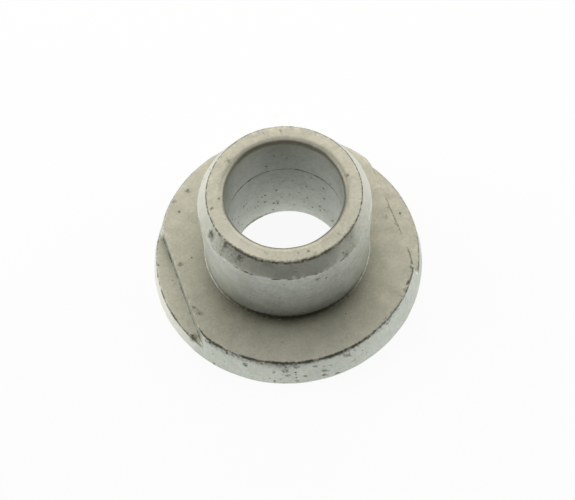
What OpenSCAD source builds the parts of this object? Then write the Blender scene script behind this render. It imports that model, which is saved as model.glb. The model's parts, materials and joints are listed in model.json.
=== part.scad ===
// Flanged spacer that holds a transmission support at a set height on its bolt.
// Millimetres, +Z up; the underside of the flange lies on z = 0 and the bore runs up the Z axis.

/* [Flange] */
// Diameter of the flange at its underside, where the rim is widest
flange_d = 30; // [28:0.1:36]
// Thickness of the flange between the two flats
flange_h = 3.9; // [3.4:0.1:6]
// Draft of the rim, leaning inward going up, in degrees
rim_draft = 11.5; // [4:0.5:16]
// Edge break where the rim meets the upper face
rim_break = 0.2; // [0.1:0.05:0.5]

/* [Flats] */
// Distance across the two parallel flats cut in the flange
flats_w = 24.8; // [22:0.1:26]
// Thickness of the ledge left under each flat
ledge_h = 1.9; // [1:0.1:2.8]

/* [Boss] */
// Diameter of the straight boss
boss_d = 18.4; // [17:0.1:20]
// Height of the whole spacer
spacer_h = 15.4; // [10:0.1:30]
// Height of the tapered lead-in at the free end
lead_h = 1.9; // [0.8:0.1:3]
// How far the lead-in draws the end in, on each side
lead_in = 1; // [0.3:0.1:1.5]
// Fillet where the boss meets the flange
root_fillet = 0.4; // [0.2:0.05:1]

/* [Bore] */
// Diameter of the through bore for the support bolt
bore_d = 12.5; // [9:0.1:13]
// Countersink at the upper mouth of the bore
mouth = 0.4; // [0.2:0.05:0.6]

/* [Hidden] */
$fn = 96;
bore_r = bore_d / 2;
boss_r = boss_d / 2;
end_r = boss_r - lead_in;
lead_z = spacer_h - lead_h;
rim_r = flange_d / 2;
break_z = flange_h - rim_break;
break_r = rim_r - break_z * tan(rim_draft);
face_r = break_r - rim_break;
// Overlap that keeps joined shapes and cuts from sharing a face
lap = 0.5;
flat_x = flats_w / 2;
cut_w = rim_r - flat_x + lap;
cut_h = flange_h - ledge_h + lap;
cut_l = flange_d + 2 * lap;

// Half section from the bore out to the rim
module half_section()
{
    polygon([
        [bore_r, 0],
        [rim_r, 0],
        [break_r, break_z],
        [face_r, flange_h],
        [boss_r, flange_h],
        [boss_r, lead_z],
        [end_r, spacer_h],
        [bore_r + mouth, spacer_h],
        [bore_r, spacer_h - mouth],
    ]);
}

// Section of the fillet in the corner between the boss and the flange
module root_section()
{
    difference()
    {
        translate([boss_r - lap, flange_h - lap])
            square(root_fillet + lap);
        translate([boss_r + root_fillet, flange_h + root_fillet])
            circle(r = root_fillet);
    }
}

// One flat: removes the rim beyond it down to the ledge
module flat_cut()
{
    translate([flat_x, -cut_l / 2, ledge_h])
        cube([cut_w, cut_l, cut_h]);
}

module spacer()
{
    color([0.66, 0.66, 0.62])
        difference()
        {
            rotate_extrude()
            {
                half_section();
                root_section();
            }
            flat_cut();
            mirror([1, 0, 0])
                flat_cut();
        }
}

spacer();
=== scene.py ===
"""Dresses the transmission support spacer in its dull plated steel and sets up its studio."""

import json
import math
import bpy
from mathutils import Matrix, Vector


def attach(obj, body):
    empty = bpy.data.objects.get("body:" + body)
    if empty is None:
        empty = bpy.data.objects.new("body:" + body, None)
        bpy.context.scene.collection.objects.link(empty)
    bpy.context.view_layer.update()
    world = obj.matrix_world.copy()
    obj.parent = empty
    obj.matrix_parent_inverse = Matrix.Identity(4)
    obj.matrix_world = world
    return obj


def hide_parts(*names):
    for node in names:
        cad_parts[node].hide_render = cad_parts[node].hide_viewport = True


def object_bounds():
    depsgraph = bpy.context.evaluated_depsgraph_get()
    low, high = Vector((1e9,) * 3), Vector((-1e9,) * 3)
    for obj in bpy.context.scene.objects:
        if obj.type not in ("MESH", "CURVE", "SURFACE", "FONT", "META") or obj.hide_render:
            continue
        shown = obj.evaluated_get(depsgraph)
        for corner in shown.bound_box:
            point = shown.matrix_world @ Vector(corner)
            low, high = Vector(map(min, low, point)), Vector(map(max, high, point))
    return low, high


bl_info = {
    "name": "Transmission Support Spacer",
    "version": (1, 0, 0),
    "blender": (4, 5, 0),
    "location": "View3D > Sidebar > Spacer",
    "description": "Builds the flanged spacer's finished surface and a plain studio round it",
    "category": "Object",
}

import bpy
import numpy as np
from mathutils import Matrix, Vector

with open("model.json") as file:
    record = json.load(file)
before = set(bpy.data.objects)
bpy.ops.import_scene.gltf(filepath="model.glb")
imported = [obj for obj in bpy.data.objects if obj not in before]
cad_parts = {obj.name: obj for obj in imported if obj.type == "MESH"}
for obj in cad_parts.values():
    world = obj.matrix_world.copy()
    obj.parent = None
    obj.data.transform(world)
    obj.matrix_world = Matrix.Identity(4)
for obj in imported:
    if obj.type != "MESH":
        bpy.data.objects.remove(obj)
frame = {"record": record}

MM = 0.001
NODE = "spacer"
BODY = "root"
CAD_BOX = [list(corner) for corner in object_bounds()]

# Sizes that the frame already states, in metres
MOUNTS = {mount["name"]: mount for mount in frame["record"]["mounts"]}
BORE_R = MOUNTS["bore"]["dims"]["r_mm"] * MM
BOSS_R = MOUNTS["boss"]["dims"]["r_mm"] * MM
BOSS_MIDDLE = MOUNTS["boss"]["pos_m"][2]
BOSS_HALF = MOUNTS["boss"]["dims"]["length_mm"] * MM / 2
FLANGE_H = MOUNTS["flange_seat"]["pos_m"][2]
LEAD_Z = BOSS_MIDDLE + BOSS_HALF
ROOT_FILLET = BOSS_MIDDLE - BOSS_HALF - FLANGE_H
RIM_R = CAD_BOX[1][0]
HEIGHT = CAD_BOX[1][2]

# The photograph's width in pixels, and the width of the sensor that the lens is given for, in millimetres
PHOTO_W = 575
SENSOR_W = 36.0

# Bearings run anticlockwise seen from above, in degrees: 0 faces the camera, 90 is its right
CAMERA_TURN = -16.5

# Softboxes: place as (right, back, up) as the camera sees it and side, both in metres, then colour.
# The power of each is the studio's property of the same name.
SOFTBOXES = {
    "key": ((0.03, 0.38, 0.28), 0.40, "#FFF9F0"),
    "left": ((-0.42, 0.05, 0.28), 0.50, "#FFFFFF"),
    "right": ((0.42, 0.05, 0.28), 0.50, "#FFFFFF"),
    "fill": ((0.0, -0.12, 0.46), 0.30, "#FFFFFF"),
}

# The black card round the front: radius and height in metres, half its arc in degrees, and its panels
CARD_R = 0.065
CARD_TOP = 0.10
CARD_HALF_TURN = 80.0
CARD_PANELS = 32

# The floor: half its side, its drop below the part, its glow as seen and as mirrored, and the distances
# from the middle between which the mirrored glow rises from nothing to its full level
FLOOR_HALF = 0.6
FLOOR_DROP = 0.02 * MM
FLOOR_GLOW_SEEN = 0.92
FLOOR_GLOW_MIRRORED = 0.97
FLOOR_DARK_R = 0.5 * MM
FLOOR_SHADE_R = 6.4 * MM
SKY_LEVEL = 0.30

# Share of bare metal in the finish, on the walls and under the warm film (partly painted warm light),
# the bloom and the dirt (with painted shade in it), and how much that dirt blurs what it mirrors
METAL_SHARE = 0.85
METAL_SHARE_FILM_AND_LIGHT = 0.65
METAL_SHARE_BLOOM = 0.35
METAL_SHARE_SOIL_AND_SHADE = 0.1
SOIL_AND_SHADE_ROUGHNESS = 0.8

# Sizes of the patterns in the finish
GRIT = 0.3 * MM
SPECK_CELL = 0.45 * MM
TARNISH_PATCH = 1.2 * MM
BLOOM_PATCH = 2.0 * MM
GRAIN = 0.25 * MM
GRAIN_DEPTH = 0.02 * MM

# Nodes whose sockets share a name take them by number. On Map Range, 0 is the value, 1 and 2 are the range
# that it comes from, 0 to 1 where they aren't set, and 3 and 4 are the range that it goes to.
# On Mix, these are the two colours that go in and the one that comes out.
MIX_A, MIX_B, MIX_RESULT = 6, 7, 2

# What all the colour properties share
COLOUR = {"size": 4, "min": 0.0, "max": 1.0, "subtype": "COLOR"}

# How far a layer that fills the strip between two edges fades out past them
STRIP_FADE = 0.1 * MM

# Least length or squared length that anything is divided by
TINY = 1e-18

# Spots of dirt: bearing in degrees, then radius, height and size in millimetres, then strength
SPOTS = (
    # On the lead-in and the boss
    (-63, 8.7, 14.4, 0.65, 0.8),
    (-49, 8.4, 15.0, 0.60, 0.7),
    (-49, 8.8, 14.2, 0.45, 0.6),
    (-35, 8.5, 14.8, 0.60, 0.8),
    (19, 9.2, 12.1, 0.40, 0.6),
    (42, 9.2, 13.6, 0.45, 0.6),
    (44, 9.2, 9.9, 0.25, 0.6),
    (52, 8.6, 14.6, 0.30, 0.5),
    # On the end face
    (-166, 7.6, 15.4, 0.25, 0.6),
    (-127, 7.1, 15.4, 0.60, 0.5),
    (-88, 6.8, 15.4, 0.30, 0.5),
    (-80, 7.7, 15.4, 0.30, 0.6),
    (-42, 7.1, 15.4, 0.25, 0.5),
    (-18, 7.3, 15.4, 0.30, 0.5),
    (9, 7.2, 15.4, 0.25, 0.5),
    (17, 7.3, 15.4, 0.25, 0.6),
    (21, 7.7, 15.4, 0.30, 0.5),
    (46, 7.5, 15.4, 0.30, 0.5),
    (104, 6.9, 15.4, 0.30, 0.7),
    (180, 7.6, 15.4, 0.25, 0.6),
    # In the bore
    (-155, 6.25, 4.0, 0.25, 0.7),
    (-144, 6.25, 9.7, 0.30, 0.6),
    (175, 6.25, 11.8, 0.30, 0.6),
    # On the rim
    (-48, 14.5, 1.9, 0.60, 0.9),
    (-30, 14.3, 3.4, 0.40, 0.7),
    (-21, 14.5, 2.5, 0.40, 0.7),
    (-9, 14.6, 2.2, 0.30, 0.5),
    (-4, 14.5, 2.4, 0.50, 0.6),
    (13, 14.5, 2.4, 0.30, 0.5),
    # On the flange's face
    (-125, 13.1, 3.9, 0.35, 0.8),
    (-117, 13.8, 3.9, 0.40, 0.5),
    (-82, 11.9, 3.9, 0.40, 0.7),
    (-56, 12.6, 3.9, 0.35, 0.6),
    (-53, 12.5, 3.9, 0.45, 0.6),
    (-51, 12.5, 3.9, 0.40, 0.6),
    (-5, 11.9, 3.9, 0.30, 0.5),
    (95, 12.6, 3.9, 0.30, 0.5),
    (99, 12.4, 3.9, 0.40, 0.5),
    (104, 11.4, 3.9, 0.40, 0.5),
    (109, 12.2, 3.9, 0.40, 0.5),
)


def bearing(degrees):
    """Angle in the part's frame, in radians, of a bearing counted from the side the camera is on."""
    return np.radians(CAMERA_TURN - 90.0 + np.asarray(degrees, float))


def linear(hex_colour):
    """Linear RGBA of an sRGB hex colour, by the sRGB transfer curve."""
    srgb = np.array([int(hex_colour[i : i + 2], 16) for i in (1, 3, 5)]) / 255.0
    rgb = np.where(srgb <= 0.04045, srgb / 12.92, ((srgb + 0.055) / 1.055) ** 2.4)
    return (*rgb.tolist(), 1.0)


def add_node(tree, kind, inputs=None, **settings):
    """Adds a node, sets its properties, and links or sets each named or numbered input."""
    node = tree.nodes.new(kind)
    for name, value in settings.items():
        setattr(node, name, value)
    for socket, value in (inputs or {}).items():
        if isinstance(value, bpy.types.NodeSocket):
            tree.links.new(value, node.inputs[socket])
        else:
            node.inputs[socket].default_value = value
    return node


class SpacerSizes(bpy.types.PropertyGroup):
    """Sizes of the finished surface that the frame doesn't state"""

    across_flats: bpy.props.FloatProperty(
        name="Across flats",
        description="Distance between the two flats cut in the flange",
        default=24.8 * MM,
        unit="LENGTH",
    )
    ledge: bpy.props.FloatProperty(
        name="Ledge",
        description="Thickness left under each flat",
        default=1.9 * MM,
        unit="LENGTH",
    )
    draft: bpy.props.FloatProperty(
        name="Rim draft",
        description="How far the rim leans in going up",
        default=math.radians(11.5),
        subtype="ANGLE",
    )
    lead_in: bpy.props.FloatProperty(
        name="Lead-in",
        description="How far the free end is drawn in on each side",
        default=1.0 * MM,
        unit="LENGTH",
    )
    mouth: bpy.props.FloatProperty(
        name="Bore mouth",
        description="Reach of the rounded lip at the bore's upper mouth",
        default=0.7 * MM,
        unit="LENGTH",
    )
    root_draw: bpy.props.FloatProperty(
        name="Root draw",
        description="How far the boss draws in towards its root",
        default=0.2 * MM,
        unit="LENGTH",
    )
    edge: bpy.props.FloatProperty(
        name="Edge round",
        description="How far each outer edge is worn round",
        default=0.2 * MM,
        unit="LENGTH",
    )
    tool_line: bpy.props.FloatProperty(
        name="Tool line",
        description="Height of the fine line that a tool left round the bore",
        default=9.7 * MM,
        unit="LENGTH",
    )


class SpacerLook(bpy.types.PropertyGroup):
    """Colours and gloss of the finish"""

    plating: bpy.props.FloatVectorProperty(
        name="Plating",
        description="Colour of the clean plating",
        default=linear("#CCD2C7"),
        **COLOUR,
    )
    # The warm film on upward faces partly paints the warm light from above
    film: bpy.props.FloatVectorProperty(
        name="Warm film",
        description="Colour of the plating on the flat faces, under a thin warm film",
        default=linear("#D1CEBB"),
        **COLOUR,
    )
    tarnish: bpy.props.FloatVectorProperty(
        name="Tarnish",
        description="Colour of the dull patches in the plating",
        default=linear("#A6A89C"),
        **COLOUR,
    )
    bloom: bpy.props.FloatVectorProperty(
        name="Bloom",
        description="Colour of the pale bloom on the boss's wall and in the bore",
        default=linear("#DCE1DC"),
        **COLOUR,
    )
    # Colour of the painted highlights, laid on as metal rubbed bright
    rubbed: bpy.props.FloatVectorProperty(
        name="Rubbed metal",
        description="Colour of the places that handling has rubbed bright",
        default=linear("#EEECDF"),
        **COLOUR,
    )
    # Also the colour of all the painted shade, in the thin dark coat and in the crease lines
    soil: bpy.props.FloatVectorProperty(
        name="Soil",
        description="Colour of the oily dirt in corners and along edges",
        default=linear("#373215"),
        **COLOUR,
    )
    roughness: bpy.props.FloatProperty(
        name="Roughness",
        description="How much the clean plating blurs what it mirrors",
        default=0.4,
        min=0.0,
        max=1.0,
        subtype="FACTOR",
    )


class SpacerStudio(bpy.types.PropertyGroup):
    """Floor and light levels of the studio"""

    floor: bpy.props.FloatVectorProperty(
        name="Floor",
        description="Colour of the studio floor",
        default=linear("#F4F4F2"),
        **COLOUR,
    )
    key: bpy.props.FloatProperty(
        name="Key light",
        description="Power of the softbox behind the part",
        default=0.70,
        unit="POWER",
    )
    left: bpy.props.FloatProperty(
        name="Left light",
        description="Power of the softbox on the left",
        default=1.7,
        unit="POWER",
    )
    right: bpy.props.FloatProperty(
        name="Right light",
        description="Power of the softbox on the right",
        default=1.3,
        unit="POWER",
    )
    fill: bpy.props.FloatProperty(
        name="Fill light",
        description="Power of the softbox over the camera",
        default=0.2,
        unit="POWER",
    )


def ripple(points, size, seed, waves=28):
    """Smooth random field of unit spread: a sum of plane waves in random directions, about size long."""
    draw = np.random.default_rng(seed)
    heading = draw.normal(size=(waves, 3))
    heading /= np.linalg.norm(heading, axis=1, keepdims=True)
    pace = 2.0 * np.pi / size * draw.uniform(0.6, 1.7, size=(waves, 1))
    phase = draw.uniform(0.0, 2.0 * np.pi, size=waves)
    return np.sin(points @ (heading * pace).T + phase).sum(axis=-1) * math.sqrt(2.0 / waves)


def smooth(value, low, high):
    """0 below low, 1 above high and a smooth cubic rise between them."""
    share = np.clip((value - low) / (high - low), 0.0, 1.0)
    return share * share * (3.0 - 2.0 * share)


def patchy(points, size, seed):
    """Random patches, 0 to 1: the smooth random field pressed towards both ends by a hyperbolic tangent."""
    return 0.5 + 0.5 * np.tanh(1.3 * ripple(points, size, seed))


def soft_least(a, b, blend):
    """Lesser of two fields, rounded where they cross: the lower branch of a hyperbola between them."""
    return (a + b - np.sqrt((a - b) ** 2 + 4.0 * blend**2)) / 2.0


def rounded_loops(corners, rounds, arc_rows, run_rows):
    """Closed loops through rounded corners.

    corners is (columns, corners, 3) and rounds (columns, corners). Each corner P becomes a quadratic curve
    from a point short of P to a point past it, with P as its handle. Between two corners comes a straight
    run, whose points crowd towards both ends by a half cosine. Returns (columns, rows, 3).
    """
    before = np.roll(corners, 1, axis=1)
    after = np.roll(corners, -1, axis=1)
    length_in = np.linalg.norm(corners - before, axis=2, keepdims=True)
    length_out = np.linalg.norm(after - corners, axis=2, keepdims=True)
    # Under half of the shorter side, so that the rounds at its two ends never meet
    most = 0.45 * np.minimum(length_in, length_out)
    reach = np.minimum(rounds[..., None], most)
    start = corners + (before - corners) * reach / length_in
    end = corners + (after - corners) * reach / length_out
    rows = []
    for i, (arc, run) in enumerate(zip(arc_rows, run_rows)):
        p0, p1, p2 = start[:, i, None], corners[:, i, None], end[:, i, None]
        t = np.linspace(0.0, 1.0, arc).reshape(1, -1, 1)
        rows.append((1.0 - t) ** 2 * p0 + 2.0 * t * (1.0 - t) * p1 + t * t * p2)
        share = (1.0 - np.cos(np.pi * np.arange(1, run + 1) / (run + 1))).reshape(1, -1, 1) / 2.0
        rows.append(p2 + (start[:, (i + 1) % len(run_rows), None] - p2) * share)
    return np.concatenate(rows, axis=1)


def column_angles(corner_angle, in_span, outside):
    """Angles of the columns, with one on each end of both flats and even steps between those ends."""
    ends = np.array([-corner_angle, corner_angle, np.pi - corner_angle, np.pi + corner_angle])
    counts = (in_span, outside, in_span, outside)
    nexts = np.append(ends[1:], ends[0] + 2.0 * np.pi)
    steps = [np.linspace(a, b, n, endpoint=False) for a, b, n in zip(ends, nexts, counts)]
    return np.concatenate(steps)


def spacer_surface(sizes):
    """Whole surface as a grid (columns, rows, 3), closed both ways, and its edges as lines round the part.

    A rounded section stands at each angle. It is the same all round, apart from the flange's edge: within
    a flat the face ends on the plane x = flat, drops to the ledge and runs out to the rim, and elsewhere
    the three corners of that step lie on the straight rim instead. A flat meets the rim in a soft corner.
    """
    slope = math.tan(sizes.draft)
    flat = sizes.across_flats / 2.0
    face_rim = RIM_R - FLANGE_H * slope
    ledge_rim = RIM_R - sizes.ledge * slope
    face_end = math.acos(flat / face_rim)
    ledge_end = math.acos(flat / ledge_rim)
    angle = column_angles(face_end, in_span=96, outside=170)

    # Angle from the nearer flat's middle, and the same stretched so that a column follows the corner down
    middle = np.where(np.cos(angle) > 0.0, 0.0, np.pi)
    off = np.angle(np.exp(1j * (angle - middle)))
    quarter = np.pi / 2.0
    stretched = np.interp(np.abs(off), [0.0, face_end, quarter], [0.0, ledge_end, quarter])
    low_angle = middle + np.sign(off) * stretched

    # Past the widest angle a flat's plane lies far outside the rim
    widest = math.radians(80.0)
    corner_blend = 0.25 * MM
    foot_blend = 0.08 * MM
    top_r = soft_least(flat / np.cos(np.minimum(np.abs(off), widest)), face_rim, corner_blend)
    foot_r = soft_least(flat / np.cos(np.minimum(stretched, widest)), ledge_rim, foot_blend)
    # The ledge slopes down into the rim at its two tips, and past them its edge sinks into the plain rim
    tip_drop = 0.25 * MM
    sink_turn = math.radians(25.0)
    tip = 1.0 - smooth(ledge_rim - foot_r, 0.1 * MM, 0.7 * MM)
    run_out = smooth(np.abs(off), face_end, face_end + sink_turn)
    lip_z = sizes.ledge * (1.0 - 0.6 * run_out) - tip_drop * tip
    lip_r = RIM_R - lip_z * slope

    # The tool line is a groove of this half width, and half as deep
    groove = 0.07 * MM
    line = sizes.tool_line
    edge = sizes.edge
    # The flats were cut last, so their edges are sharper than the worn rim
    face_edge = edge * (0.3 + 0.7 * smooth(np.abs(off), 0.8 * face_end, 1.1 * face_end))
    # Up the bore and down outside: radius, height, angle, round, rows in the corner, rows to the next one
    stations = {
        "bore_foot": (BORE_R, 0.0, angle, 1.5 * edge, 6, 14),
        "line_below": (BORE_R, line - groove, angle, 0.0, 1, 1),
        "tool_line": (BORE_R + 0.5 * groove, line, angle, 0.0, 1, 1),
        "line_above": (BORE_R, line + groove, angle, 0.0, 1, 10),
        "bore_mouth": (BORE_R, HEIGHT, angle, sizes.mouth, 12, 6),
        "end_edge": (BOSS_R - sizes.lead_in, HEIGHT, angle, 0.6 * edge, 7, 7),
        "lead_edge": (BOSS_R, LEAD_Z, angle, 0.4 * edge, 6, 16),
        "root": (BOSS_R - sizes.root_draw, FLANGE_H, angle, 0.5 * ROOT_FILLET, 9, 14),
        "face_edge": (top_r, FLANGE_H, angle, face_edge, 8, 8),
        "ledge_root": (foot_r, sizes.ledge, low_angle, 0.3 * edge, 6, 8),
        "ledge_edge": (lip_r, lip_z, low_angle, 0.8 * edge, 7, 5),
        "foot_edge": (RIM_R, 0.0, angle, edge, 6, 8),
    }
    whole = np.ones_like(angle)
    lines = {
        name: np.stack([radius * np.cos(turn), radius * np.sin(turn), height * whole], axis=-1)
        for name, (radius, height, turn, *_) in stations.items()
    }
    rounds, arc_rows, run_rows = zip(*(station[3:] for station in stations.values()))
    rounds = np.stack([reach * whole for reach in rounds], axis=1)
    corners = np.stack(list(lines.values()), axis=1)
    return rounded_loops(corners, rounds, arc_rows, run_rows), lines


def near(grid, width, line, other=None):
    """Closeness, 1 to 0, to a line round the part, or to the strip between it and another line.

    Each point is measured from its own column's point of the line, or from the nearest point between the
    two lines there, and the closeness is a bell curve of that distance over the width.
    """
    start = line[:, None]
    across = np.zeros_like(start) if other is None else other[:, None] - start
    length = np.maximum(np.sum(across**2, axis=-1, keepdims=True), TINY)
    share = np.clip(np.sum((grid - start) * across, axis=-1, keepdims=True) / length, 0.0, 1.0)
    return np.exp(-np.sum((grid - start - share * across) ** 2, axis=-1) / width**2)


def sector(grid, degrees, spread):
    """1 at a bearing, falling smoothly to 0 at spread degrees to either side of it."""
    turn = np.arctan2(grid[..., 1], grid[..., 0]) - bearing(degrees)
    off = np.degrees(np.abs(np.angle(np.exp(1j * turn))))
    return smooth(-off, -spread, 0.0)


def sectors(grid, *marks):
    """Sum of sectors, each given as its strength, its bearing and its spread in degrees."""
    return sum(strength * sector(grid, degrees, spread) for strength, degrees, spread in marks)


def raised(line, height):
    """A line round the part moved straight up by a height, or down where it is negative."""
    return line + (0.0, 0.0, height)


def on_left(grid):
    """1 on the half that holds the left flat, 0 on the other."""
    return np.where(grid[..., 0] < 0.0, 1.0, 0.0)


def on_flat(lines):
    """1 in the columns where the flange is cut down to a ledge, 0 in the others."""
    outer = np.hypot(lines["ledge_edge"][:, 0], lines["ledge_edge"][:, 1])
    inner = np.hypot(lines["ledge_root"][:, 0], lines["ledge_root"][:, 1])
    return smooth(outer - inner, 0.3 * MM, 0.6 * MM)[:, None]


def spots(grid):
    """Closeness, 0 to about 1, to the nearest of the listed spots, each a blob of its own size."""
    marks = np.array(SPOTS)
    turn = bearing(marks[:, 0])
    middle = np.stack([marks[:, 1] * np.cos(turn), marks[:, 1] * np.sin(turn), marks[:, 2]], axis=1) * MM
    blobs = [
        strength * np.exp(-np.sum((grid - place) ** 2, axis=-1) / (size * MM) ** 2)
        for place, size, strength in zip(middle, marks[:, 3], marks[:, 4])
    ]
    return np.maximum.reduce(blobs)


def soil_and_shade_on(grid, lines):
    """Thick dirt, 0 to about 1: lines and crusts along edges, smears and spots, with painted shade among
    them.
    """
    broken = patchy(grid, 2.2 * MM, seed=3)
    flaky = smooth(ripple(grid, 0.7 * MM, seed=23), -0.6, 1.0)
    flat = on_flat(lines)
    left = on_left(grid)
    front = sector(grid, 0, 75)
    over_foot = raised(lines["bore_foot"], 0.5 * MM)
    under_mouth = raised(lines["bore_mouth"], -0.3 * MM)
    over_root = raised(lines["root"], 0.4 * MM)
    below_edge = raised(lines["face_edge"], -0.3 * MM)
    under_edge = raised(lines["face_edge"], -0.5 * MM)

    # The bore and the boss
    foot_share = 0.8 * sector(grid, -145, 45)
    # The dark line under the bore's front lip is painted shade laid over its highlight
    lip_shade_share = 0.6 * sector(grid, 0, 85)
    end_line = 0.85 - 0.2 * sector(grid, 180, 70)
    end_share = 0.2 + sectors(
        grid, (0.25, -66, 20), (0.6, -36, 30), (0.25, -5, 60), (0.45, 25, 70), (0.2, 56, 14)
    )
    lead_share = 0.2 + 0.3 * broken + 0.4 * flaky * sector(grid, -12, 85)
    lead_smear = sectors(grid, (0.45, -46, 30), (0.3, 50, 16)) * (0.5 + 0.5 * broken)
    # The line in the crease at the boss's root is painted shade, darkest at the front
    crease_shade_share = 0.25 + 0.85 * sector(grid, 0, 70)

    # The flange's edge, round the rim and along the flats
    rim_marks = sectors(grid, (0.4, -38, 14), (0.2, 20, 14), (0.1, 44, 34), (0.3, 68, 16))
    rim_share = (0.4 + 0.45 * front * (0.6 + broken) + rim_marks) * (0.9 + 0.15 * flaky)
    edge_crust = sectors(grid, (0.6, 48, 20), (1.0, 72, 18)) * (0.4 + 0.6 * flaky)
    rim_crust = sectors(grid, (0.8, -38, 16), (0.6, 24, 16), (0.6, 48, 20)) * flaky
    rim_smear = sectors(grid, (0.45, -24, 34), (0.25, -3, 16), (0.3, 14, 14))
    blotches = smooth(ripple(grid, 1.3 * MM, seed=19), 0.6, 1.8) * (0.35 + 0.3 * sector(grid, -15, 70))
    chord_share = (1.0 - left) * (0.2 + 0.4 * broken + 0.8 * sector(grid, 76, 14))
    # The line at the foot of the left flat's step is painted shade
    step_foot_shade_share = left * (0.5 + 0.3 * broken)
    ledge_share = 0.45 + 0.3 * broken + 0.1 * flaky + 0.25 * sector(grid, -60, 24)
    return np.maximum.reduce([
        near(grid, 0.2 * MM, over_foot) * foot_share,
        near(grid, 0.12 * MM, lines["tool_line"]) * (0.4 + 0.3 * broken),
        near(grid, 0.15 * MM, under_mouth) * lip_shade_share,
        near(grid, 0.12 * MM, lines["end_edge"]) * end_line,
        near(grid, 0.3 * MM, lines["end_edge"]) * end_share,
        near(grid, STRIP_FADE, lines["end_edge"], lines["lead_edge"]) * lead_smear,
        near(grid, 0.16 * MM, lines["lead_edge"]) * lead_share,
        near(grid, 0.28 * MM, lines["root"], over_root) * crease_shade_share,
        near(grid, 0.16 * MM, lines["face_edge"], below_edge) * rim_share * (1.0 - flat),
        near(grid, 0.45 * MM, lines["face_edge"]) * edge_crust,
        near(grid, 0.6 * MM, under_edge) * rim_crust * (1.0 - flat),
        near(grid, 0.7 * MM, under_edge) * rim_smear * (1.0 - flat),
        near(grid, 0.4 * MM, under_edge, lines["foot_edge"]) * blotches * (1.0 - flat),
        near(grid, 0.24 * MM, lines["face_edge"]) * chord_share * flat,
        near(grid, 0.1 * MM, lines["ledge_root"]) * step_foot_shade_share * flat,
        near(grid, 0.18 * MM, lines["ledge_edge"]) * ledge_share * flat,
        spots(grid),
    ])


def shade_on(grid, lines):
    """Painted shade, 0 to about 1: in the bore and on its lip, in the corners and under the rim's edge."""
    height = grid[..., 2]
    line = lines["tool_line"][0, 2]
    flat = on_flat(lines)
    left = on_left(grid)
    front = sector(grid, 0, 100)
    back = sector(grid, 180, 110)
    under_edge = raised(lines["face_edge"], -0.5 * MM)

    # Painted shade, darker up the bore and at its back, and on its left more than on its right
    bore = 0.27 * smooth(height, 3.0 * MM, line) + 0.22 * back * smooth(height, 8.0 * MM, HEIGHT)
    bore = bore + sectors(grid, (0.1, -90, 60), (-0.16, 90, 60))
    lip = 0.45 + 0.2 * back + sectors(grid, (0.3, 90, 70), (0.2, 130, 45), (0.25, -130, 45))

    # Painted shade of the boss, from its root out over the face, and less far up the boss
    ahead = 0.3 + 0.7 * sector(grid, 0, 95)
    root = ahead * (0.65 + 0.2 * front)
    spread = 0.35 * ahead * near(grid, 0.9 * MM, lines["root"]) + 0.46 * near(grid, 3.0 * MM, lines["root"])
    # Painted shade on the face at the two sides of the front
    front_side_shade = sectors(grid, (0.13, -45, 35), (0.13, 45, 35))
    spread = spread + front_side_shade * near(grid, STRIP_FADE, lines["root"], lines["face_edge"])
    up_boss = (0.8 - 0.5 * front) * smooth(height, FLANGE_H, FLANGE_H + 0.6 * MM)
    spread = spread * (1.0 - up_boss) * (0.5 + 0.5 * sector(grid, 0, 130))

    # Painted shade on the left ledge beside its step, and under the rim's edge at the front
    ledge = (0.05 + 0.3 * sector(grid, -98, 22)) * left
    rim = (0.1 * front + 0.25 * sector(grid, -4, 16)) * near(grid, 0.7 * MM, under_edge)
    rim = rim + sectors(grid, (0.12, 8, 45), (0.07, -38, 30))
    return np.maximum.reduce([
        bore * near(grid, STRIP_FADE, lines["bore_foot"], lines["bore_mouth"]),
        lip * near(grid, 0.5 * MM, lines["bore_mouth"]),
        0.15 * front * near(grid, STRIP_FADE, lines["end_edge"], lines["lead_edge"]),
        root * near(grid, 0.4 * MM, lines["root"]),
        spread,
        0.3 * flat * near(grid, 0.06 * MM, lines["face_edge"], lines["ledge_root"]),
        ledge * flat * near(grid, 0.6 * MM, lines["ledge_root"]),
        rim * (1.0 - flat) * near(grid, 0.4 * MM, under_edge, lines["foot_edge"]),
    ])


def film_and_light_on(grid, normals, lines):
    """Warm film, 0 to 1, partly painted warm light on what faces up; a little into the bore; thin on the
    lead-in.
    """
    return np.maximum.reduce([
        # Faces that look up take the warm tint partly as painted warm light from above
        smooth(normals[..., 2], 0.75, 0.98),
        near(grid, 1.0 * MM, lines["bore_mouth"]),
        0.5 * near(grid, STRIP_FADE, lines["end_edge"], lines["lead_edge"]),
    ])


def bloom_on(grid, lines):
    """Pale bloom, 0 to 1, on the boss's wall from the lead-in to the root, and thin in the upper bore."""
    wall = near(grid, STRIP_FADE, lines["lead_edge"], lines["root"])
    bore = 0.35 * smooth(grid[..., 2], 3.0 * MM, 6.0 * MM)
    return np.maximum(wall, bore * near(grid, STRIP_FADE, lines["bore_foot"], lines["bore_mouth"]))


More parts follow.
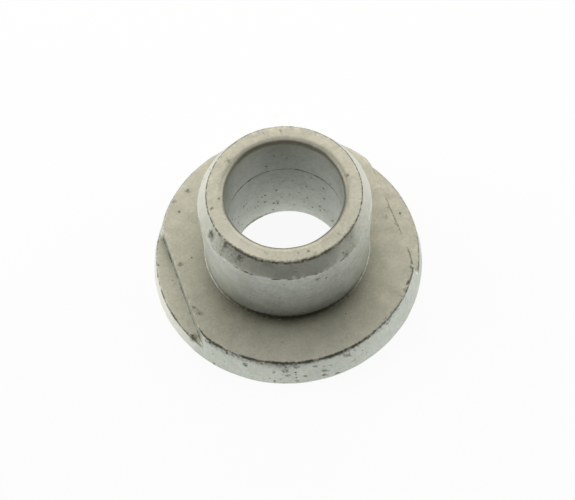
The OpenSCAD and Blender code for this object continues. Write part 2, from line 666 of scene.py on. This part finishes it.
def rubbed_and_highlight_on(grid, lines):
    """Painted highlights, 0 to 1: on and below the lead-in, on the wall, a ledge's rim and the end."""
    broken = patchy(grid, 1.5 * MM, seed=17)
    below_lead = raised(lines["lead_edge"], -2.5 * MM)
    side = sectors(grid, (0.6, -112, 60), (0.45, 112, 60))
    shoulder = sectors(grid, (0.55, -95, 28), (0.55, 95, 28))
    wall = 0.27 * sector(grid, -45, 30)
    end = 0.35 * sector(grid, -45, 45)
    ledge_rim = on_flat(lines) * on_left(grid) * (0.3 + 0.65 * sector(grid, -78, 40))
    # Each of these is a painted highlight, with a bright broken line along the lead-in's lower edge
    return np.maximum.reduce([
        side * near(grid, STRIP_FADE, lines["end_edge"], lines["lead_edge"]),
        (0.2 + 0.7 * broken) * near(grid, 0.2 * MM, lines["lead_edge"]),
        shoulder * near(grid, 0.4 * MM, lines["lead_edge"], below_lead),
        wall * near(grid, STRIP_FADE, lines["lead_edge"], lines["root"]),
        end * near(grid, STRIP_FADE, lines["bore_mouth"], lines["end_edge"]),
        ledge_rim * near(grid, 0.2 * MM, lines["ledge_edge"], lines["foot_edge"]),
    ])


def specks_on(grid, lines):
    """Share of the small cells, 0 to 1, that hold a dark speck: most in the lower bore and on the rim."""
    height = grid[..., 2]
    bore = smooth(height, 0.8 * MM, 2.0 * MM) * (0.4 - 0.32 * smooth(height, 4.0 * MM, 6.5 * MM))
    rim = 0.03 + 0.15 * sector(grid, -20, 60)
    elsewhere = 0.025
    return np.maximum.reduce([
        bore * near(grid, STRIP_FADE, lines["bore_foot"], lines["bore_mouth"]),
        rim * near(grid, 0.2 * MM, lines["face_edge"], lines["ledge_edge"]) * (1.0 - on_flat(lines)),
        np.full(height.shape, elsewhere),
    ])


def worn(grid, normals, lines):
    """Points moved in along their normals: nicks bitten out of the edges, a faint unevenness all over."""
    bite_depth = 0.04 * MM
    hollow_depth = 0.03 * MM
    edge_widths = {"end_edge": 0.3 * MM, "lead_edge": 0.25 * MM, "face_edge": 0.3 * MM}
    edges = sum(near(grid, width, lines[name]) for name, width in edge_widths.items())
    bites = smooth(ripple(grid, 0.9 * MM, seed=11), 0.5, 2.0)
    hollows = smooth(ripple(grid, 3.0 * MM, seed=13), -2.0, 2.0)
    shift = hollow_depth * hollows + bite_depth * edges * bites
    moved = grid - normals * shift[..., None]
    moved[..., 2] = np.clip(moved[..., 2], 0.0, HEIGHT)
    return moved


def grid_normals(grid):
    """Unit normals of a grid closed both ways, from the cross product of its central differences."""
    across = np.roll(grid, -1, axis=0) - np.roll(grid, 1, axis=0)
    along = np.roll(grid, -1, axis=1) - np.roll(grid, 1, axis=1)
    normal = np.cross(along, across)
    return normal / np.maximum(np.linalg.norm(normal, axis=2, keepdims=True), TINY)


def closed_grid_mesh(name, grid):
    """Mesh of a grid that closes on itself both ways, with its quads facing out of the solid."""
    columns, rows, _ = grid.shape
    index = np.arange(columns * rows).reshape(columns, rows)
    right = np.roll(index, -1, axis=0)
    up = np.roll(index, -1, axis=1)
    corner = np.roll(right, -1, axis=1)
    quads = np.stack([index, up, corner, right], axis=-1).reshape(-1, 4)
    mesh = bpy.data.meshes.new(name)
    mesh.from_pydata(grid.reshape(-1, 3).tolist(), [], quads.tolist())
    mesh.update()
    mesh.polygons.foreach_set("use_smooth", np.ones(len(mesh.polygons), bool))
    return mesh


def plated_steel(look):
    """Dull zinc-plated turned steel.

    The plating is a soft grey metal that blurs what it mirrors, mottled with tarnish, and paler under a
    bloom.
    A warm film on its flat faces partly paints the warm light from above, and painted highlights are laid
    on as metal rubbed bright. Painted shade lies on it as a thin dark coat, and oily dirt in ragged lines
    and specks without shine, with painted shade in the root's crease and at the step's foot among them.
    """
    material = bpy.data.materials.new("dull_zinc_plated_steel")
    material.use_nodes = True
    tree = material.node_tree
    tree.nodes.clear()
    place = add_node(tree, "ShaderNodeTexCoord").outputs["Object"]
    layers = ("soil", "shade", "film", "bloom", "rubbed", "specks")
    soil, shade, film, bloom, rubbed, specks = (
        add_node(tree, "ShaderNodeAttribute", attribute_name=layer).outputs["Fac"] for layer in layers
    )

    # Noise patterns: size, then detail, roughness and distortion
    patterns = (
        (GRIT, 3.0, 0.6, 0.0),
        (TARNISH_PATCH, 6.0, 0.8, 0.0),
        (BLOOM_PATCH, 5.0, 0.7, 0.6),
        (GRAIN, 2.0, 0.5, 0.0),
    )
    grit, patch, torn, grain = (
        add_node(
            tree,
            "ShaderNodeTexNoise",
            {"Vector": place, "Scale": 1.0 / size, "Detail": fine, "Roughness": rough, "Distortion": warp},
        ).outputs["Fac"]
        for size, fine, rough, warp in patterns
    )

    # Ragged dirt and painted shade: the closeness to a line or spot, times the grit, cut off at a level
    grit = add_node(tree, "ShaderNodeMapRange", {0: grit, 1: 0.3, 2: 0.7, 3: 0.5, 4: 1.3}).outputs[0]
    ragged = add_node(tree, "ShaderNodeMath", {0: soil, 1: grit}, operation="MULTIPLY").outputs[0]
    ragged = add_node(tree, "ShaderNodeMapRange", {0: ragged, 1: 0.22, 2: 0.75, 3: 0.0, 4: 0.88}).outputs[0]

    # Specks: a dot 0.1 to 0.3 mm across at the heart of some of the cells
    cells = add_node(tree, "ShaderNodeTexVoronoi", {"Vector": place, "Scale": 1.0 / SPECK_CELL}).outputs
    chance = add_node(tree, "ShaderNodeSeparateColor", {0: cells["Color"]}).outputs
    reach = add_node(tree, "ShaderNodeMapRange", {0: chance[1], 3: 0.11, 4: 0.42}).outputs[0]
    dot = add_node(tree, "ShaderNodeMath", {0: cells["Distance"], 1: reach}, operation="DIVIDE").outputs[0]
    dot = add_node(tree, "ShaderNodeMapRange", {0: dot, 1: 0.4, 2: 1.0, 3: 0.85, 4: 0.0}).outputs[0]
    pick = add_node(tree, "ShaderNodeMath", {0: chance[0], 1: specks}, operation="LESS_THAN").outputs[0]
    dot = add_node(tree, "ShaderNodeMath", {0: dot, 1: pick}, operation="MULTIPLY").outputs[0]
    dirt_and_shade = add_node(tree, "ShaderNodeMath", {0: ragged, 1: dot}, operation="MAXIMUM").outputs[0]

    # Tarnish in patches with finer and finer ones in them, and a fine dust from the grit
    patch = add_node(tree, "ShaderNodeMapRange", {0: patch, 1: 0.35, 2: 0.7, 3: 0.0, 4: 0.45}).outputs[0]
    dust = add_node(tree, "ShaderNodeMapRange", {0: grit, 1: 0.5, 2: 1.3, 3: -0.08, 4: 0.2}).outputs[0]
    dull = add_node(tree, "ShaderNodeMath", {0: dust, 1: patch}, operation="ADD", use_clamp=True).outputs[0]

    # Bloom in patches with torn edges
    torn = add_node(tree, "ShaderNodeMapRange", {0: torn, 1: 0.42, 2: 0.56, 3: 0.25, 4: 0.75}).outputs[0]
    cover = add_node(tree, "ShaderNodeMath", {0: bloom, 1: torn}, operation="MULTIPLY").outputs[0]

    # Painted highlights, laid on as bright rubbed metal, where the grit breaks them up
    bright = add_node(tree, "ShaderNodeMath", {0: rubbed, 1: grit}, operation="MULTIPLY").outputs[0]
    bright = add_node(tree, "ShaderNodeMapRange", {0: bright, 1: 0.1, 2: 0.9, 3: 0.0, 4: 0.9}).outputs[0]

    # Each coat lies over those before it, by its share; the shade coat is painted shade in the dirt's
    # colour
    coats = (
        (film, look.film),
        (cover, look.bloom),
        (dull, look.tarnish),
        (bright, look.rubbed),
        (shade, look.soil),
        (dirt_and_shade, look.soil),
    )
    colour = look.plating
    for share, coat in coats:
        sockets = {0: share, MIX_A: colour, MIX_B: coat}
        colour = add_node(tree, "ShaderNodeMix", sockets, data_type="RGBA").outputs[MIX_RESULT]
    metal = METAL_SHARE
    for share, below in ((film, METAL_SHARE_FILM_AND_LIGHT), (cover, METAL_SHARE_BLOOM), (dirt_and_shade, METAL_SHARE_SOIL_AND_SHADE)):
        metal = add_node(tree, "ShaderNodeMapRange", {0: share, 3: metal, 4: below}).outputs[0]
    blur = add_node(tree, "ShaderNodeMapRange", {0: dirt_and_shade, 3: look.roughness, 4: SOIL_AND_SHADE_ROUGHNESS}).outputs[0]

    # The plating's own grain is too fine to show in the render, so it is drawn coarser, 0.25 mm across
    relief = {"Height": grain, "Strength": 0.3, "Distance": GRAIN_DEPTH}
    bump = add_node(tree, "ShaderNodeBump", relief).outputs[0]
    shader = add_node(
        tree,
        "ShaderNodeBsdfPrincipled",
        {"Base Color": colour, "Roughness": blur, "Metallic": metal, "Normal": bump},
    )
    add_node(tree, "ShaderNodeOutputMaterial", {"Surface": shader.outputs[0]})
    return material


class OBJECT_OT_spacer_body(bpy.types.Operator):
    """Build the spacer's finished surface over its CAD solid"""

    bl_idname = "object.spacer_body"
    bl_label = "Spacer Body"

    def execute(self, context):
        scene = context.scene
        grid, lines = spacer_surface(scene.spacer_sizes)
        normals = grid_normals(grid)
        mesh = closed_grid_mesh("spacer_body", worn(grid, normals, lines))
        layers = {
            "soil": soil_and_shade_on(grid, lines),
            "shade": shade_on(grid, lines),
            "film": film_and_light_on(grid, normals, lines),
            "bloom": bloom_on(grid, lines),
            "rubbed": rubbed_and_highlight_on(grid, lines),
            "specks": specks_on(grid, lines),
        }
        for name, values in layers.items():
            mesh.attributes.new(name, "FLOAT", "POINT").data.foreach_set("value", values.ravel())
        mesh.materials.append(plated_steel(scene.spacer_look))
        piece = bpy.data.objects.new("spacer_body", mesh)
        scene.collection.objects.link(piece)
        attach(piece, BODY)
        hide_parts(NODE)
        return {"FINISHED"}


def studio_point(right, back, up):
    """Point given by how far it lies to the camera's right, away from the camera and up, in metres."""
    turn = math.radians(CAMERA_TURN)
    x = right * math.cos(turn) - back * math.sin(turn)
    y = right * math.sin(turn) + back * math.cos(turn)
    return Vector((x, y, up))


def add_camera(scene):
    """Camera at the photograph's view: its place, its aim, a slight roll, and a lens for its width."""
    distance = 201.3 * MM
    elevation = math.radians(62.54)
    roll = math.radians(-3.26)
    focal_pixels = 1800.0
    aim = studio_point(0.02 * MM, 1.39 * MM, 0.0)
    place = studio_point(0.0, -distance * math.cos(elevation), distance * math.sin(elevation))
    forward = (aim - place).normalized()
    right = forward.cross(Vector((0.0, 0.0, 1.0))).normalized()
    up = right.cross(forward)
    rolled_right = right * math.cos(roll) + up * math.sin(roll)
    rolled_up = up * math.cos(roll) - right * math.sin(roll)
    turned = Matrix((rolled_right, rolled_up, -forward)).transposed().to_4x4()
    data = bpy.data.cameras.new("photo_camera")
    data.sensor_fit = "HORIZONTAL"
    data.sensor_width = SENSOR_W
    data.lens = focal_pixels * SENSOR_W / PHOTO_W
    data.clip_start = 0.01
    camera = bpy.data.objects.new("photo_camera", data)
    camera.matrix_world = Matrix.Translation(place) @ turned
    scene.collection.objects.link(camera)
    scene.camera = camera


def add_softbox(scene, name, place, side, watts, colour):
    """Square area light of that side, aimed at the middle of the part."""
    data = bpy.data.lights.new(name, "AREA")
    data.shape = "SQUARE"
    data.size = side
    data.energy = watts
    data.color = linear(colour)[:3]
    lamp = bpy.data.objects.new(name, data)
    aim = Vector((0.0, 0.0, HEIGHT / 2.0)) - place
    lamp.matrix_world = Matrix.Translation(place) @ aim.to_track_quat("-Z", "Y").to_matrix().to_4x4()
    scene.collection.objects.link(lamp)


def floor_paper(colour):
    """Matt white paper that the camera and mirrored rays see nearly white, with the part's shadow on it."""
    material = bpy.data.materials.new("white_paper")
    material.use_nodes = True
    tree = material.node_tree
    tree.nodes.clear()
    paper = add_node(tree, "ShaderNodeBsdfDiffuse", {"Color": colour}).outputs[0]
    glow = add_node(tree, "ShaderNodeEmission", {"Color": linear("#FFFFFF"), "Strength": 1.0}).outputs[0]
    path = add_node(tree, "ShaderNodeLightPath").outputs
    direct = {0: path["Is Camera Ray"], 1: path["Is Transmission Ray"]}
    seen = add_node(tree, "ShaderNodeMath", direct, operation="MAXIMUM").outputs[0]
    seen = add_node(tree, "ShaderNodeMath", {0: seen, 1: FLOOR_GLOW_SEEN}, operation="MULTIPLY").outputs[0]

    # Under the part the paper lies in its shadow, so the metal mirrors less glow there
    place = add_node(tree, "ShaderNodeTexCoord").outputs["Object"]
    away = add_node(tree, "ShaderNodeVectorMath", {0: place}, operation="LENGTH").outputs["Value"]
    rise = {0: away, 1: FLOOR_DARK_R, 2: FLOOR_SHADE_R, 3: 0.0, 4: FLOOR_GLOW_MIRRORED}
    mirrored = add_node(tree, "ShaderNodeMapRange", rise).outputs[0]
    glossy = {0: path["Is Glossy Ray"], 1: mirrored, 2: seen}
    share = add_node(tree, "ShaderNodeMath", glossy, operation="MULTIPLY_ADD").outputs[0]
    blend = add_node(tree, "ShaderNodeMixShader", {0: share, 1: paper, 2: glow}).outputs[0]
    add_node(tree, "ShaderNodeOutputMaterial", {"Surface": blend})
    return material


def black_card():
    """Matt black card, which keeps the camera's side of the studio dark in the metal."""
    material = bpy.data.materials.new("black_card")
    material.use_nodes = True
    shader = material.node_tree.nodes["Principled BSDF"]
    shader.inputs["Base Color"].default_value = linear("#1A1A1A")
    shader.inputs["Roughness"].default_value = 0.9
    return material


def stage_object(scene, name, corners, quads, material):
    """Object of the studio from its corners and its four-cornered faces."""
    mesh = bpy.data.meshes.new(name)
    mesh.from_pydata(corners, [], quads)
    mesh.materials.append(material)
    prop = bpy.data.objects.new(name, mesh)
    scene.collection.objects.link(prop)
    return prop


def add_floor(scene):
    """Flat square of white paper just below the part."""
    half, low = FLOOR_HALF, -FLOOR_DROP
    corners = [(-half, -half, low), (half, -half, low), (half, half, low), (-half, half, low)]
    stage_object(scene, "floor", corners, [(0, 1, 2, 3)], floor_paper(scene.spacer_studio.floor))


def add_front_card(scene):
    """Upright black card bent in an arc about the part's axis, round its front, unseen by the camera."""
    turn = bearing(np.linspace(-CARD_HALF_TURN, CARD_HALF_TURN, CARD_PANELS + 1))
    foot = np.stack([np.cos(turn), np.sin(turn), 0.0 * turn], axis=1) * CARD_R
    corners = np.concatenate([foot, foot + (0.0, 0.0, CARD_TOP)])
    first = np.arange(CARD_PANELS)
    quads = np.stack([first, first + 1, first + 1 + len(turn), first + len(turn)], axis=1)
    card = stage_object(scene, "front_card", corners.tolist(), quads.tolist(), black_card())
    card.visible_camera = False
    card.visible_shadow = False


def add_world(scene):
    """World of even white light from all sides."""
    world = bpy.data.worlds.new("studio")
    world.use_nodes = True
    sky = world.node_tree.nodes["Background"]
    sky.inputs["Color"].default_value = linear("#FFFFFF")
    sky.inputs["Strength"].default_value = SKY_LEVEL
    scene.world = world


class OBJECT_OT_spacer_stage(bpy.types.Operator):
    """Set up the floor, the lights, the world and the camera"""

    bl_idname = "object.spacer_stage"
    bl_label = "Studio"

    def execute(self, context):
        scene = context.scene
        scene.view_settings.view_transform = "Standard"
        add_floor(scene)
        add_front_card(scene)
        for name, (place, side, colour) in SOFTBOXES.items():
            add_softbox(scene, name, studio_point(*place), side, getattr(scene.spacer_studio, name), colour)
        add_world(scene)
        add_camera(scene)
        return {"FINISHED"}


class VIEW3D_PT_spacer(bpy.types.Panel):
    """Sidebar panel with the spacer's sizes, colours and operators"""

    bl_label = "Spacer"
    bl_idname = "VIEW3D_PT_spacer"
    bl_space_type = "VIEW_3D"
    bl_region_type = "UI"
    bl_category = "Spacer"

    def draw(self, context):
        scene = context.scene
        for group in (scene.spacer_sizes, scene.spacer_look, scene.spacer_studio):
            for name in group.__annotations__:
                self.layout.prop(group, name)
        self.layout.operator(OBJECT_OT_spacer_body.bl_idname)
        self.layout.operator(OBJECT_OT_spacer_stage.bl_idname)


CLASSES = (
    SpacerSizes,
    SpacerLook,
    SpacerStudio,
    OBJECT_OT_spacer_body,
    OBJECT_OT_spacer_stage,
    VIEW3D_PT_spacer,
)


def register():
    """Registers the classes and gives each scene its sizes, look and studio."""
    for cls in CLASSES:
        bpy.utils.register_class(cls)
    bpy.types.Scene.spacer_sizes = bpy.props.PointerProperty(type=SpacerSizes)
    bpy.types.Scene.spacer_look = bpy.props.PointerProperty(type=SpacerLook)
    bpy.types.Scene.spacer_studio = bpy.props.PointerProperty(type=SpacerStudio)


def unregister():
    """Takes back all that register set up, in the opposite order."""
    del bpy.types.Scene.spacer_studio
    del bpy.types.Scene.spacer_look
    del bpy.types.Scene.spacer_sizes
    for cls in reversed(CLASSES):
        bpy.utils.unregister_class(cls)


def main():
    """Builds the spacer and its studio."""
    register()
    bpy.ops.object.spacer_body()
    bpy.ops.object.spacer_stage()


if __name__ == "__main__":
    main()
